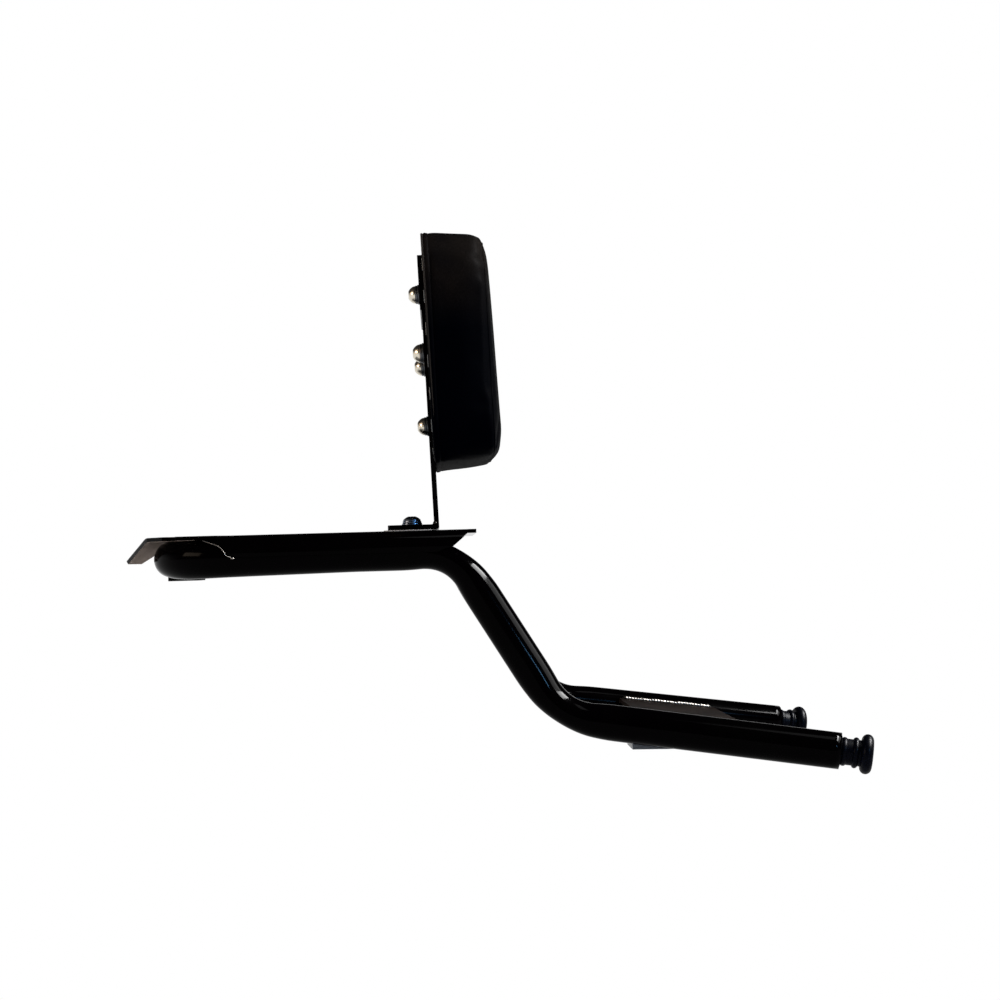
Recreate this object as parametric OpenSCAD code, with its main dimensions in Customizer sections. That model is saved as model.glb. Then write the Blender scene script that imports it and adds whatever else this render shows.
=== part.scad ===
// Motorcycle luggage rack with a padded backrest.
// Millimetres. X points to the front of the motorcycle, Z points up.
// The working zero is where the level tube run and the leg would meet.
// Every piece is then moved so that the row's zero is the centre of the four frame bolt holes,
// on the underside of the mount brackets.

/* [Main tube] */
// Outside diameter of the tube
tube_od = 25.4; // [22:0.1:30]
// Wall of the tube
tube_wall = 2; // [1.2:0.1:3]
// Half of the distance between the two level runs
run_half_width = 85; // [75:1:100]
// Bend radius of the rear loop
loop_bend_radius = 48; // [40:1:60]
// Length of the level run, from the loop to the corner of the upper bend
run_length = 206.6; // [190:0.1:240]
// Bend radius between the level run and the leg
upper_bend_radius = 45; // [40:1:70]
// How far the leg reaches forward
leg_reach = 72.1; // [60:0.1:90]
// How far the leg drops
leg_drop = 118.6; // [105:0.1:140]
// How far the leg spreads outward
leg_spread = 9; // [0:0.5:15]
// Bend radius between the leg and the front arm
lower_bend_radius = 52; // [45:1:85]
// How far the front arm reaches forward
arm_reach = 190.5; // [175:0.5:230]
// How far the front arm drops
arm_drop = 27; // [15:0.5:32]
// How far the front arm spreads outward
arm_spread = 31; // [10:0.5:40]

/* [End plugs] */
// Radius of the plug's neck
plug_neck_radius = 9.1; // [7:0.1:9.5]
// Radius of the ring next to the tube end
plug_inner_ring_radius = 10; // [9.6:0.1:12]
// Radius of the ring in the middle of the neck
plug_outer_ring_radius = 10.7; // [9.8:0.1:12.5]
// Radius of the round head
plug_head_radius = 13.8; // [11:0.1:15]
// Thickness of the round head
plug_head_thickness = 8.2; // [5:0.1:10]
// Length of the neck from the tube end to the head
plug_neck_length = 14; // [13:0.1:20]
// Length of the stem inside the tube
plug_stem_length = 18; // [12:1:30]
// Clearance of the stem in the tube
plug_fit = 0.15; // [0.05:0.05:0.3]

/* [Luggage plate] */
// Thickness of the folded sheet
plate_thickness = 2.8; // [1.5:0.1:4]
// Gap filled by paint between welded pieces and the tube
seat_gap = 0.1; // [0.05:0.05:0.3]
// How far the flat sheet reaches past the upper corner
plate_front_reach = 16; // [8:0.5:22]
// How far behind the upper corner the side flange's lower edge starts
flange_front_setback = 12; // [6:0.5:20]
// Length of the side flange along its lower edge
flange_length = 147; // [120:1:155]
// Length of the curved cut at the flange's rear end
flange_rear_curve = 19; // [10:1:25]
// Depth of the hook notch, measured in from the side edge
notch_depth = 11; // [8:0.5:12]
// Width of the hook notch
notch_width = 6.5; // [6:0.1:8]
// Distance from the tail's fold to the notch
notch_offset = 17; // [14:0.5:20]
// Half width of the tail at its fold
tail_fold_half_width = 70.5; // [55:0.5:76]
// Half width of the tail at its tip
tail_tip_half_width = 26.5; // [15:0.5:45]
// Length of the tail below its fold
tail_length = 25; // [15:0.5:35]
// Downward angle of the tail
tail_angle = 38; // [20:1:60]
// Inner radius of the tail's fold
tail_fold_radius = 3; // [1:0.5:6]
// Corner radius of the sheet
plate_corner_radius = 5; // [2:0.5:7]
// Length of a strap slot
slot_length = 58; // [40:1:64]
// Width of a strap slot
slot_width = 12; // [8:0.5:18]
// Distance between the slots of one row, centre to centre
slot_pitch = 74; // [70:1:80]
// Half of the distance between the two slot rows
slot_half_spacing = 54; // [40:1:58]
// Distance from the upper corner back to the middle of a slot row
slot_row_setback = 106; // [100:1:112]

/* [Rear rest pad] */
// Length of the pad along the motorcycle
rest_length = 24; // [18:0.5:25]
// Distance from the loop's axis forward to the pad's middle
rest_offset = 6; // [0:0.5:6]
// Width of the pad across the motorcycle
rest_width = 30; // [20:1:70]
// Thickness of the pad below the tube
rest_thickness = 3.3; // [2:0.1:6]
// How far the pad laps up beside the tube
rest_lap = 1.5; // [0.5:0.1:3]

/* [Backrest upright] */
// Thickness of the upright and its foot
upright_thickness = 3.7; // [3:0.1:6]
// Backward lean of the upright in degrees
upright_lean = 1.8; // [0:0.1:10]
// Distance from the upper corner back to the upright's rear face
upright_setback = 14; // [10:0.1:25]
// Length of the foot behind the upright's rear face
foot_length = 34; // [30:0.5:45]
// Half width of the foot
foot_half_width = 45; // [42:0.5:56]
// Radius of the foot's rear corners
foot_corner_radius = 6; // [2:0.5:10]
// Inner radius of the fold between foot and upright
foot_fold_radius = 2; // [1:0.5:5]
// Outer radius of the fold between foot and upright
heel_radius = 2; // [1:0.5:6]
// Half width of the upright's wide head
head_half_width = 60; // [57:0.5:70]
// Distance from the top bolt up to the upright's top edge
head_margin = 23.5; // [20:0.5:28]
// Corner radius of the upright's head
head_corner_radius = 20; // [10:1:26]
// Height above the foot at which the head starts to narrow
shoulder_height = 82; // [60:1:100]
// Height of the bolt circle above the foot
bolt_circle_height = 125; // [115:0.5:150]
// Diameter of the pad's bolt circle
bolt_circle_diameter = 100; // [80:0.5:110]
// Number of pad bolts
pad_bolt_count = 4; // [4:1:6]
// Thickness of the strip behind the top bolt
strip_thickness = 1.1; // [0.8:0.1:3]
// Height of the strip
strip_height = 43; // [34:1:60]
// Thickness of the gasket under the foot
gasket_thickness = 1.2; // [0.5:0.1:2]
// How far the gasket shows round the foot
gasket_margin = 3; // [1:0.5:5]

/* [Backrest pad] */
// Height of the pad
pad_height = 165; // [155:1:190]
// Width of the pad
pad_width = 205; // [180:1:240]
// Depth of the pad at its middle
pad_depth = 50.5; // [45:0.5:60]
// Depth of the pad at the edge of its front panel
pad_edge_depth = 44; // [40:0.5:44]
// Radius of the crowned front
pad_crown_radius = 850; // [600:10:1500]
// How far the crown's highest point lies below the pad's middle
pad_crown_drop = 14; // [0:0.5:20]
// Inward slope of the pad's side panels in degrees
pad_taper = 5.5; // [0:0.5:8]
// Corner radius of the pad seen from the front
pad_corner_radius = 30; // [15:1:45]
// Radius of the pad's front edges
pad_edge_radius = 6; // [4:0.5:12]
// How far the pad's middle lies above the bolt circle
pad_lift = 1; // [0:0.5:5]
// Thickness of the backing board
board_thickness = 12; // [9:0.5:18]
// Width of the cushion's rim round the board
board_margin = 7; // [4:0.5:12]
// Clearance round the board
board_fit = 0.3; // [0.1:0.1:0.5]
// Diameter of the piping cord
welt_diameter = 2.6; // [2:0.1:3.4]

/* [Cross plate] */
// Thickness of the cross plate
cross_thickness = 3; // [2:0.1:5]
// Length of the cross plate along the arms
cross_length = 79; // [60:1:95]
// Distance from the lower corner to the cross plate's rear edge
cross_start = 58; // [50:1:70]
// Height of the cross plate's middle above the arm axes
cross_height = 5; // [3:0.5:7]

/* [Mount brackets] */
// Thickness of a bracket
mount_thickness = 4; // [3:0.1:6]
// Distance from the lower corner to the bracket's rear end
mount_start = 49; // [45:1:60]
// Length of a bracket
mount_length = 84; // [76:1:100]
// Distance from the bracket's rear end to its first hole
mount_hole_inset = 16; // [12:0.5:20]
// Distance between a bracket's two holes
mount_hole_spacing = 45; // [38:0.5:48]
// Distance between the left and the right hole rows
mount_row_spacing = 140; // [110:1:150]
// Material inside the hole row
mount_edge = 14; // [10:0.5:20]
// Corner radius of a bracket
mount_corner_radius = 8; // [3:0.5:10]

/* [Fasteners] */
// Thread diameter
thread_diameter = 8; // [6:0.5:8]
// Clearance hole diameter
clearance_hole = 8.5; // [8.4:0.1:10]
// Diameter of the round bolt head
bolt_head_diameter = 13; // [12:0.1:15]
// Height of the domed head of a pad bolt
pad_head_height = 5.8; // [4:0.1:6.4]
// Height of the lower head of a foot bolt
foot_head_height = 3.9; // [3.5:0.1:5]
// Height of the straight rim of the head
bolt_head_rim = 0.9; // [0.5:0.1:1.5]
// Key size of the socket
socket_key = 5; // [4:0.5:6]
// Depth of the socket
socket_depth = 2.6; // [1.5:0.1:3]
// Length of a pad bolt
pad_bolt_length = 20; // [19.5:0.5:21]
// Length of a foot bolt
foot_bolt_length = 22; // [20:0.5:30]
// Half of the distance between the foot bolts
foot_bolt_half_spacing = 30; // [20:0.5:32]
// Distance from the upright's rear face back to the foot bolts
foot_bolt_setback = 16.3; // [14:0.1:20]
// Diameter of a flat washer
flat_washer_diameter = 15; // [14:0.5:18]
// Thickness of a flat washer
flat_washer_thickness = 1.2; // [1:0.1:2]
// Diameter of a spring washer
spring_washer_diameter = 13.8; // [13:0.1:14.8]
// Thickness of a spring washer
spring_washer_thickness = 1.7; // [1.5:0.1:2.5]
// Width of the split in a spring washer
spring_washer_split = 1.2; // [0.8:0.1:2]
// Clearance of washers and nuts round the thread
thread_fit = 0.1; // [0.05:0.05:0.3]
// Size of the hexagon nut across its flats
nut_across_flats = 13; // [12.5:0.5:14]
// Height of the nut
nut_height = 6.5; // [5:0.1:8]
// Diameter of the tee nut's flange
tee_flange_diameter = 22; // [18:0.5:26]
// Thickness of the tee nut's flange
tee_flange_thickness = 1.5; // [1:0.1:2]
// Diameter of the tee nut's barrel
tee_barrel_diameter = 10.4; // [9.6:0.1:12]
// Length of the tee nut's barrel
tee_barrel_length = 9; // [6:0.5:9]

/* [Hidden] */
run_steps = 8;
bend_slimming = 0.12;
bend_lap = 0.5;
slit_tilt = 20;
paint_gap = 0.02;
cut = 1;

bore_radius = thread_diameter / 2 + thread_fit;
plate_low = tube_od / 2 + seat_gap;
plate_top = plate_low + plate_thickness;
gasket_top = plate_top + gasket_thickness;
foot_top = gasket_top + upright_thickness;
plate_half_width = run_half_width + plate_low + plate_thickness;
tail_fold_x = -run_length - tube_od / 2 - seat_gap;
pad_mid_height = bolt_circle_height + pad_lift;
board_back = upright_thickness + paint_gap;
board_front = board_back + board_thickness;
bolt_circle_radius = bolt_circle_diameter / 2;
head_height = bolt_circle_height + bolt_circle_radius + head_margin;

// Corner points of the tube's axis on one side, from the middle of the loop to the tube's end.
corner = [
    [-run_length, 0, 0],
    [-run_length, run_half_width, 0],
    [0, run_half_width, 0],
    [leg_reach, run_half_width + leg_spread, -leg_drop],
    [leg_reach + arm_reach, run_half_width + leg_spread + arm_spread, -leg_drop - arm_drop]
];
bend_radius = [0, loop_bend_radius, upper_bend_radius, lower_bend_radius, 0];
arm_start = corner[3];
arm_end = corner[4];
arm_length = norm(arm_end - arm_start);
arm_pitch = atan2(arm_drop, arm_reach);
arm_level_length = norm([arm_reach, arm_spread]);

mount_top = arm_z(mount_start) - tube_od / 2 / cos(arm_pitch) - seat_gap;
mount_low = mount_top - mount_thickness;
mount_mid_x = leg_reach + mount_start + mount_hole_inset + mount_hole_spacing / 2;

function unit(v) = v / norm(v);
function heading(i) = unit(corner[i + 1] - corner[i]);
function turn(i) = acos(heading(i - 1) * heading(i));
function setback(i) = bend_radius[i] == 0 ? 0 : bend_radius[i] * tan(turn(i) / 2);
function straight(i) = norm(corner[i + 1] - corner[i]) - setback(i) - setback(i + 1);
function across(v, along) = unit(v - (v * along) * along);
function entry_side(i) = across(heading(i), heading(i - 1));
function exit_side(i) = -across(heading(i - 1), heading(i));
function roll(i) = i == 1 ? 0 : atan2(
    cross(exit_side(i - 1), entry_side(i)) * heading(i - 1),
    exit_side(i - 1) * entry_side(i)
);

// Height and side position of the arm's axis, a distance in front of the lower corner.
function arm_z(ahead) = arm_start[2] - arm_drop * ahead / arm_reach;
function arm_y(ahead) = arm_start[1] + arm_spread * ahead / arm_reach;

// The points of an outline whose corners are given as x, y and corner radius.
function corner_arc(a, b, c) =
    let (
        p = [b[0], b[1]],
        u = unit([a[0], a[1]] - p),
        v = unit([c[0], c[1]] - p),
        half = acos(u * v) / 2,
        side = cross(u, v) > 0 ? 1 : -1,
        middle = p + unit(u + v) * b[2] / sin(half),
        first = atan2(-side * u[0], side * u[1])
    )
    b[2] == 0 ? [p] : [
        for (k = [0:run_steps])
            let (t = first + side * (2 * half - 180) * k / run_steps)
            middle + b[2] * [cos(t), sin(t)]
    ];
function rounded(pts) = [
    for (i = [0:len(pts) - 1])
        for (q = corner_arc(pts[(i + len(pts) - 1) % len(pts)], pts[i], pts[(i + 1) % len(pts)])) q
];

// Moves a piece from the working zero to the row's zero.
module placed() {
    translate([-mount_mid_x, 0, -mount_low])
        children();
}

// Section of the tube, with its wall drawn slimmer by the given amount on both sides.
module tube_section(slimmer) {
    difference() {
        circle(d = tube_od - 2 * slimmer, $fn = 64);
        circle(d = tube_od - 2 * tube_wall + 2 * slimmer, $fn = 64);
    }
}

// Straight run number i of one side, then the bend at its end.
module tube_run(i) {
    linear_extrude(height = straight(i))
        tube_section(0);
    if (i + 2 < len(corner))
        translate([0, 0, straight(i)])
            rotate([0, 0, roll(i + 1)])
                tube_bend(i + 1);
}

// Bend number i, drawn a hair slimmer so that both its ends lie inside the runs, then the next run.
module tube_bend(i) {
    radius = bend_radius[i];
    lap = bend_lap / radius * 180 / PI;
    translate([radius, 0, 0]) {
        rotate([90, 0, 180])
            rotate([0, 0, -lap])
                rotate_extrude(angle = turn(i) + 2 * lap, $fn = 96)
                    translate([radius, 0])
                        tube_section(bend_slimming);
        rotate([0, turn(i), 0])
            translate([-radius, 0, 0])
                tube_run(i);
    }
}

module main_tube() {
    color([0.05, 0.05, 0.06])
        placed()
            for (side = [0, 1])
                mirror([0, side, 0])
                    translate(corner[0])
                        rotate([-90, 0, 0])
                            tube_run(0);
}

// Puts things on the axis of the left arm, a distance along it, with Z along the arm.
module on_arm(distance) {
    translate(arm_start)
        rotate([0, acos(-arm_drop / arm_length), atan2(arm_spread, arm_reach)])
            translate([0, 0, distance])
                children();
}

// The space that both arms take, with the gap for paint.
module arm_space() {
    for (side = [0, 1])
        mirror([0, side, 0])
            on_arm(-tube_od)
                cylinder(r = tube_od / 2 + seat_gap, h = arm_length + 2 * tube_od, $fn = 64);
}

module end_plug() {
    ring_one = plug_inner_ring_radius - plug_neck_radius + 1.5;
    ring_two = plug_outer_ring_radius - plug_neck_radius + 0.5;
    placed()
        on_arm(arm_length)
            rotate_extrude($fn = 72) {
                translate([0, -plug_stem_length])
                    square([tube_od / 2 - tube_wall - plug_fit, plug_stem_length + cut / 2]);
                square([plug_neck_radius, plug_neck_length + cut]);
                difference() {
                    translate([plug_inner_ring_radius - ring_one, ring_one])
                        circle(r = ring_one, $fn = 48);
                    translate([-2 * plug_head_radius, 0])
                        square([2 * plug_head_radius, plug_head_radius]);
                }
                translate([plug_outer_ring_radius - ring_two, plug_neck_length - 2 * ring_two - cut / 2])
                    translate([0, ring_two / 2])
                        circle(r = ring_two, $fn = 48);
                translate([0, plug_neck_length])
                    square([plug_head_radius - plug_head_thickness / 2, plug_head_thickness]);
                translate([
                    plug_head_radius - plug_head_thickness / 2,
                    plug_neck_length + plug_head_thickness / 2
                ])
                    circle(d = plug_head_thickness, $fn = 64);
            }
}

module end_plug_left() {
    color([0.08, 0.09, 0.12])
        end_plug();
}

module end_plug_right() {
    color([0.08, 0.09, 0.12])
        mirror([0, 1, 0])
            end_plug();
}

// Side view of the flat sheet with its folded tail.
module plate_profile() {
    drop = tail_length * sin(tail_angle);
    back = tail_length * cos(tail_angle);
    lift = plate_thickness * tan(tail_angle / 2);
    tip = [tail_fold_x - back, plate_low - drop];
    polygon(rounded([
        [plate_front_reach, plate_low, 0],
        [plate_front_reach, plate_top, 0],
        [tail_fold_x - lift, plate_top, tail_fold_radius + plate_thickness],
        [tip[0] - plate_thickness * sin(tail_angle), tip[1] + plate_thickness * cos(tail_angle), 0],
        [tip[0], tip[1], 0],
        [tail_fold_x, plate_low, tail_fold_radius]
    ]));
}

// Half of the sheet's outline seen from above, with the hook notch.
module plate_outline() {
    rear_x = tail_fold_x - tail_length * cos(tail_angle) - plate_thickness;
    notch_x = tail_fold_x + notch_offset;
    edge = plate_half_width - plate_thickness;
    polygon(rounded([
        [plate_front_reach + cut, -cut, 0],
        [plate_front_reach + cut, run_half_width, 0],
        [-flange_front_setback, run_half_width, 0],
        [-flange_front_setback - flange_length, run_half_width, 0],
        [-flange_front_setback - flange_length - flange_rear_curve / 2, edge, plate_corner_radius],
        [notch_x + notch_width, edge, 2],
        [notch_x + notch_width, edge - notch_depth, notch_width / 2.1],
        [notch_x, edge - notch_depth, notch_width / 2.1],
        [notch_x, edge - 3, 2],
        [tail_fold_x, tail_fold_half_width, plate_corner_radius],
        [rear_x, tail_tip_half_width, plate_corner_radius],
        [rear_x, -cut, 0]
    ]));
}

// Side view of the flange: curved cut at the rear, slanted cut at the front.
module flange_outline() {
    front = -flange_front_setback;
    rear = front - flange_length;
    polygon(rounded([
        [rear, 0, 4],
        [front, 0, 6],
        [front + plate_low * 0.9, plate_low / 3, 8],
        [front + plate_low * 1.7, plate_low, 0],
        [front + plate_low * 1.7, plate_top + cut, 0],
        [rear - flange_rear_curve, plate_top + cut, 0],
        [rear - flange_rear_curve, plate_top - plate_thickness, 3],
        [rear - flange_rear_curve / 4, plate_low * 0.6, 12]
    ]));
}

// The quarter round that wraps the tube, seen along the motorcycle.
module flange_section() {
    intersection() {
        difference() {
            circle(r = plate_low + plate_thickness, $fn = 96);
            circle(r = plate_low, $fn = 96);
        }
        square(2 * plate_low);
    }
}

module strap_slot() {
    linear_extrude(height = plate_thickness + 2 * cut) {
        square([slot_length - slot_width, slot_width], center = true);
        for (end = [-1, 1])
            translate([end * (slot_length - slot_width) / 2, 0])
                circle(d = slot_width, $fn = 48);
    }
}

module foot_bolt_holes(low, high) {
    for (side = [-1, 1])
        translate([-upright_setback - foot_bolt_setback, side * foot_bolt_half_spacing, low - cut])
            cylinder(d = clearance_hole, h = high - low + 2 * cut, $fn = 48);
}

module luggage_plate() {
    color([0.09, 0.09, 0.1])
        placed()
            difference() {
                union() {
                    intersection() {
                        rotate([90, 0, 0])
                            linear_extrude(height = 4 * plate_half_width, center = true)
                                plate_profile();
                        translate([0, 0, -2 * tail_length])
                            linear_extrude(height = 4 * tail_length)
                                for (side = [0, 1])
                                    mirror([0, side])
                                        plate_outline();
                    }
                    for (side = [0, 1])
                        mirror([0, side, 0])
                            intersection() {
                                translate([-2 * run_length, run_half_width, 0])
                                    rotate([90, 0, 90])
                                        linear_extrude(height = 3 * run_length)
                                            flange_section();
                                rotate([90, 0, 0])
                                    linear_extrude(height = 4 * plate_half_width, center = true)
                                        flange_outline();
                            }
                }
                for (side = [-1, 1])
                    for (step = [-0.5, 0.5])
                        translate([
                            -slot_row_setback + step * slot_pitch,
                            side * slot_half_spacing,
                            plate_low - cut
                        ])
                            strap_slot();
                foot_bolt_holes(plate_low, plate_top);
            }
}

module rear_rest_pad() {
    color([0.12, 0.12, 0.13])
        placed()
            difference() {
                translate([
                    -run_length + rest_offset - rest_length / 2,
                    -rest_width / 2,
                    -tube_od / 2 - rest_thickness
                ])
                    cube([rest_length, rest_width, rest_thickness + rest_lap]);
                translate([-run_length, 0, 0])
                    rotate([90, 0, 0])
                        cylinder(r = tube_od / 2 + seat_gap, h = 2 * rest_width, center = true, $fn = 64);
            }
}

module cross_plate() {
    ahead = [cross_start, cross_start + cross_length * cos(arm_pitch)];
    color([0.4, 0.37, 0.34])
        placed()
            difference() {
                translate([leg_reach, 0, arm_z(0) + cross_height / cos(arm_pitch)])
                    rotate([0, arm_pitch, 0])
                        linear_extrude(height = cross_thickness, center = true)
                            polygon([
                                [ahead[0] / cos(arm_pitch), -arm_y(ahead[0])],
                                [ahead[1] / cos(arm_pitch), -arm_y(ahead[1])],
                                [ahead[1] / cos(arm_pitch), arm_y(ahead[1])],
                                [ahead[0] / cos(arm_pitch), arm_y(ahead[0])]
                            ]);
                arm_space();
            }
}

module mount_bracket() {
    inner = mount_row_spacing / 2 - mount_edge;
    ends = [mount_start, mount_start + mount_length];
    placed()
        difference() {
            translate([leg_reach, 0, mount_low])
                linear_extrude(height = mount_thickness)
                    polygon(rounded([
                        [ends[0], arm_y(ends[0]), 0],
                        [ends[0], inner, mount_corner_radius],
                        [ends[1], inner, mount_corner_radius],
                        [ends[1], arm_y(ends[1]), 0]
                    ]));
            for (step = [-0.5, 0.5])
                translate([
                    mount_mid_x + step * mount_hole_spacing,
                    mount_row_spacing / 2,
                    mount_low - cut
                ])
                    cylinder(d = clearance_hole, h = mount_thickness + 2 * cut, $fn = 48);
            arm_space();
        }
}

module mount_bracket_left() {
    color([0.5, 0.53, 0.57])
        mount_bracket();
}

module mount_bracket_right() {
    color([0.5, 0.53, 0.57])
        mirror([0, 1, 0])
            mount_bracket();
}

module foot_gasket() {
    rear = -upright_setback - foot_length - gasket_margin;
    front = -upright_setback - foot_fold_radius;
    side = foot_half_width + gasket_margin;
    color([0.55, 0.55, 0.55])
        placed()
            difference() {
                translate([0, 0, plate_top])
                    linear_extrude(height = gasket_thickness)
                        polygon(rounded([
                            [rear, -side, foot_corner_radius],
                            [rear, side, foot_corner_radius],
                            [front, side, 0],
                            [front, -side, 0]
                        ]));
                foot_bolt_holes(plate_top, gasket_top);
            }
}

// Puts things on the leaning upright: X along its normal from its rear face, Z up along it.
module on_upright() {
    translate([-upright_setback, 0, foot_top])
        rotate([0, -upright_lean, 0])
            children();
}

// Puts a thing at each pad bolt, with Z along the bolt. The first bolt is the top one.
module at_pad_bolts(seat) {
    on_upright()
        for (i = [0:pad_bolt_count - 1])
            let (a = i * 360 / pad_bolt_count)
                translate([
                    i == 0 ? -seat : 0,
                    bolt_circle_radius * sin(a),
                    bolt_circle_height + bolt_circle_radius * cos(a)
                ])
                    rotate([0, 90, 0])
                        children();
}

module pad_bolt_holes(diameter) {
    at_pad_bolts(0)
        translate([0, 0, -strip_thickness - cut])
            cylinder(d = diameter, h = board_front + strip_thickness + 2 * cut, $fn = 48);
}

// Side view of the upright and its foot.
module upright_profile() {
    top = head_height + cut;
    lean_x = top * sin(upright_lean);
    face = upright_thickness / cos(upright_lean);
    rise = top * cos(upright_lean);
    low_x = upright_thickness * tan(upright_lean);
    polygon(rounded([
        [-upright_setback - foot_length, gasket_top, 0],
        [-upright_setback + face + low_x, gasket_top, heel_radius],
        [-upright_setback - lean_x + face, foot_top + rise, 0],
        [-upright_setback - lean_x, foot_top + rise, 0],
        [-upright_setback, foot_top, foot_fold_radius],
        [-upright_setback - foot_length, foot_top, 0]
    ]));
}

// The upright seen along its normal: a wide head that narrows down to the foot.
module upright_outline() {
    polygon(rounded([
        [-foot_half_width, -foot_top, 0],
        [foot_half_width, -foot_top, 0],
        [foot_half_width, 0, head_corner_radius],
        [head_half_width, shoulder_height, head_corner_radius],
        [head_half_width, head_height, head_corner_radius],
        [-head_half_width, head_height, head_corner_radius],
        [-head_half_width, shoulder_height, head_corner_radius],
        [-foot_half_width, 0, head_corner_radius]
    ]));
}

// The foot seen from above, with round rear corners, left open over the upright.
module foot_outline() {
    rear = -upright_setback - foot_length;
    front = -upright_setback + 2 * foot_length;
    polygon(rounded([
        [rear, -foot_half_width, foot_corner_radius],
        [front, -foot_half_width, 0],
        [front, foot_half_width, 0],
        [rear, foot_half_width, foot_corner_radius]
    ]));
}

module backrest_upright() {
    color([0.08, 0.08, 0.09])
        placed()
            difference() {
                intersection() {
                    rotate([90, 0, 0])
                        linear_extrude(height = 4 * head_half_width, center = true)
                            upright_profile();
                    on_upright()
                        translate([-2 * foot_length, 0, 0])
                            rotate([90, 0, 90])
                                linear_extrude(height = 4 * foot_length)
                                    upright_outline();
                    union() {
                        translate([0, 0, plate_top])
                            linear_extrude(height = foot_top - plate_top + 2 * foot_fold_radius)
                                foot_outline();
                        translate([-foot_length, -head_half_width, foot_top + foot_fold_radius])
                            cube([2 * foot_length, 2 * head_half_width, head_height]);
                    }
                }
                foot_bolt_holes(gasket_top, foot_top);
                pad_bolt_holes(clearance_hole);
            }
}

module upright_backing_strip() {
    color([0.1, 0.1, 0.11])
        placed()
            difference() {
                on_upright()
                    translate([-strip_thickness, 0, 0])
                        rotate([90, 0, 90])
                            linear_extrude(height = strip_thickness - paint_gap)
                                polygon(rounded([
                                    [-head_half_width, head_height - strip_height, 0],
                                    [head_half_width, head_height - strip_height, 0],
                                    [head_half_width, head_height, head_corner_radius],
                                    [-head_half_width, head_height, head_corner_radius]
                                ]));
                pad_bolt_holes(clearance_hole);
            }
}

// Outline of the pad seen from the front, drawn smaller by the inset.
module pad_outline(inset) {
    side = pad_width / 2 - inset;
    top = pad_height / 2 - inset;
    r = pad_corner_radius - inset;
    polygon(rounded([
        [-side, -top, r],
        [side, -top, r],
        [side, top, r],
        [-side, top, r]
    ]));
}

// Puts things at the middle of the pad's back: X to the front, Z up.
module on_pad() {
    on_upright()
        translate([board_back, 0, pad_mid_height])
            children();
}

module pad_board() {
    color([0.5, 0.4, 0.3])
        placed()
            difference() {
                on_pad()
                    rotate([90, 0, 90])
                        linear_extrude(height = board_thickness)
                            pad_outline(board_margin);
                pad_bolt_holes(tee_barrel_diameter + 2 * board_fit);
            }
}

// A view of the pad from one side: sloping panels, rounded front edges.
module pad_profile(half) {
    slope = pad_edge_depth * tan(pad_taper);
    polygon(rounded([
        [0, -half, 0],
        [pad_edge_depth, -half + slope, pad_edge_radius],
        [pad_depth + 2, 0, 4 * half],
        [pad_edge_depth, half - slope, pad_edge_radius],
        [0, half, 0]
    ]));
}

module pad_cushion() {
    color([0.07, 0.07, 0.07])
        placed()
            on_pad()
                difference() {
                    intersection() {
                        rotate([90, 0, 90])
                            linear_extrude(height = 2 * pad_depth)
                                pad_outline(0);
                        rotate([90, 0, 0])
                            linear_extrude(height = 2 * pad_width, center = true)
                                pad_profile(pad_height / 2);
                        linear_extrude(height = 2 * pad_height, center = true)
                            pad_profile(pad_width / 2);
                        translate([pad_depth - pad_crown_radius, 0, -pad_crown_drop])
                            sphere(r = pad_crown_radius, $fn = 180);
                    }
                    translate([-cut, 0, 0])
                        rotate([90, 0, 90])
                            linear_extrude(height = board_thickness + board_fit + cut)
                                pad_outline(board_margin - board_fit);
                    translate([-cut, 0, 0])
                        rotate([90, 0, 90])
                            linear_extrude(height = welt_diameter + board_fit + cut)
                                difference() {
                                    pad_outline(-cut);
                                    pad_outline(welt_diameter + board_fit);
                                }
                    translate([board_thickness, 0, -pad_lift])
                        for (i = [0:pad_bolt_count - 1])
                            rotate([i * 360 / pad_bolt_count, 0, 0])
                                translate([0, 0, bolt_circle_radius])
                                    rotate([0, 90, 0])
                                        cylinder(
                                            d = tee_flange_diameter + 2 * board_fit,
                                            h = tee_flange_thickness + 2 * board_fit,
                                            $fn = 48
                                        );
                }
}

// Piping cord in a step along the pad's rear edge: four straight pieces and four quarter bends.
module pad_welt() {
    r = pad_corner_radius;
    side = pad_width / 2 - r;
    top = pad_height / 2 - r;
    reach = r - welt_diameter / 2;
    color([0.15, 0.15, 0.15])
        placed()
            on_pad()
                translate([welt_diameter / 2, 0, 0])
                    rotate([90, 0, 90]) {
                        for (flip = [0, 1]) {
                            mirror([0, flip, 0])
                                translate([0, top + reach, 0])
                                    rotate([0, 90, 0])
                                        cylinder(d = welt_diameter, h = 2 * side, center = true, $fn = 32);
                            mirror([flip, 0, 0])
                                translate([side + reach, 0, 0])
                                    rotate([90, 0, 0])
                                        cylinder(d = welt_diameter, h = 2 * top, center = true, $fn = 32);
                        }
                        for (flip_x = [0, 1])
                            for (flip_y = [0, 1])
                                mirror([flip_x, 0, 0])
                                    mirror([0, flip_y, 0])
                                        translate([side, top, 0])
                                            rotate_extrude(angle = 90, $fn = 96)
                                                translate([reach, 0])
                                                    circle(d = welt_diameter, $fn = 32);
                    }
}

// Tee nut with its flange on the front of the board.
module tee_nut() {
    difference() {
        union() {
            translate([0, 0, -tee_barrel_length])
                cylinder(d = tee_barrel_diameter, h = tee_barrel_length + cut / 2, $fn = 48);
            cylinder(d = tee_flange_diameter, h = tee_flange_thickness, $fn = 64);
        }
        translate([0, 0, -tee_barrel_length - cut])
            cylinder(r = bore_radius, h = tee_barrel_length + tee_flange_thickness + 2 * cut, $fn = 48);
    }
}

module pad_tee_nuts() {
    color([0.7, 0.7, 0.68])
        placed()
            at_pad_bolts(0)
                translate([0, 0, board_front])
                    tee_nut();
}

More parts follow.
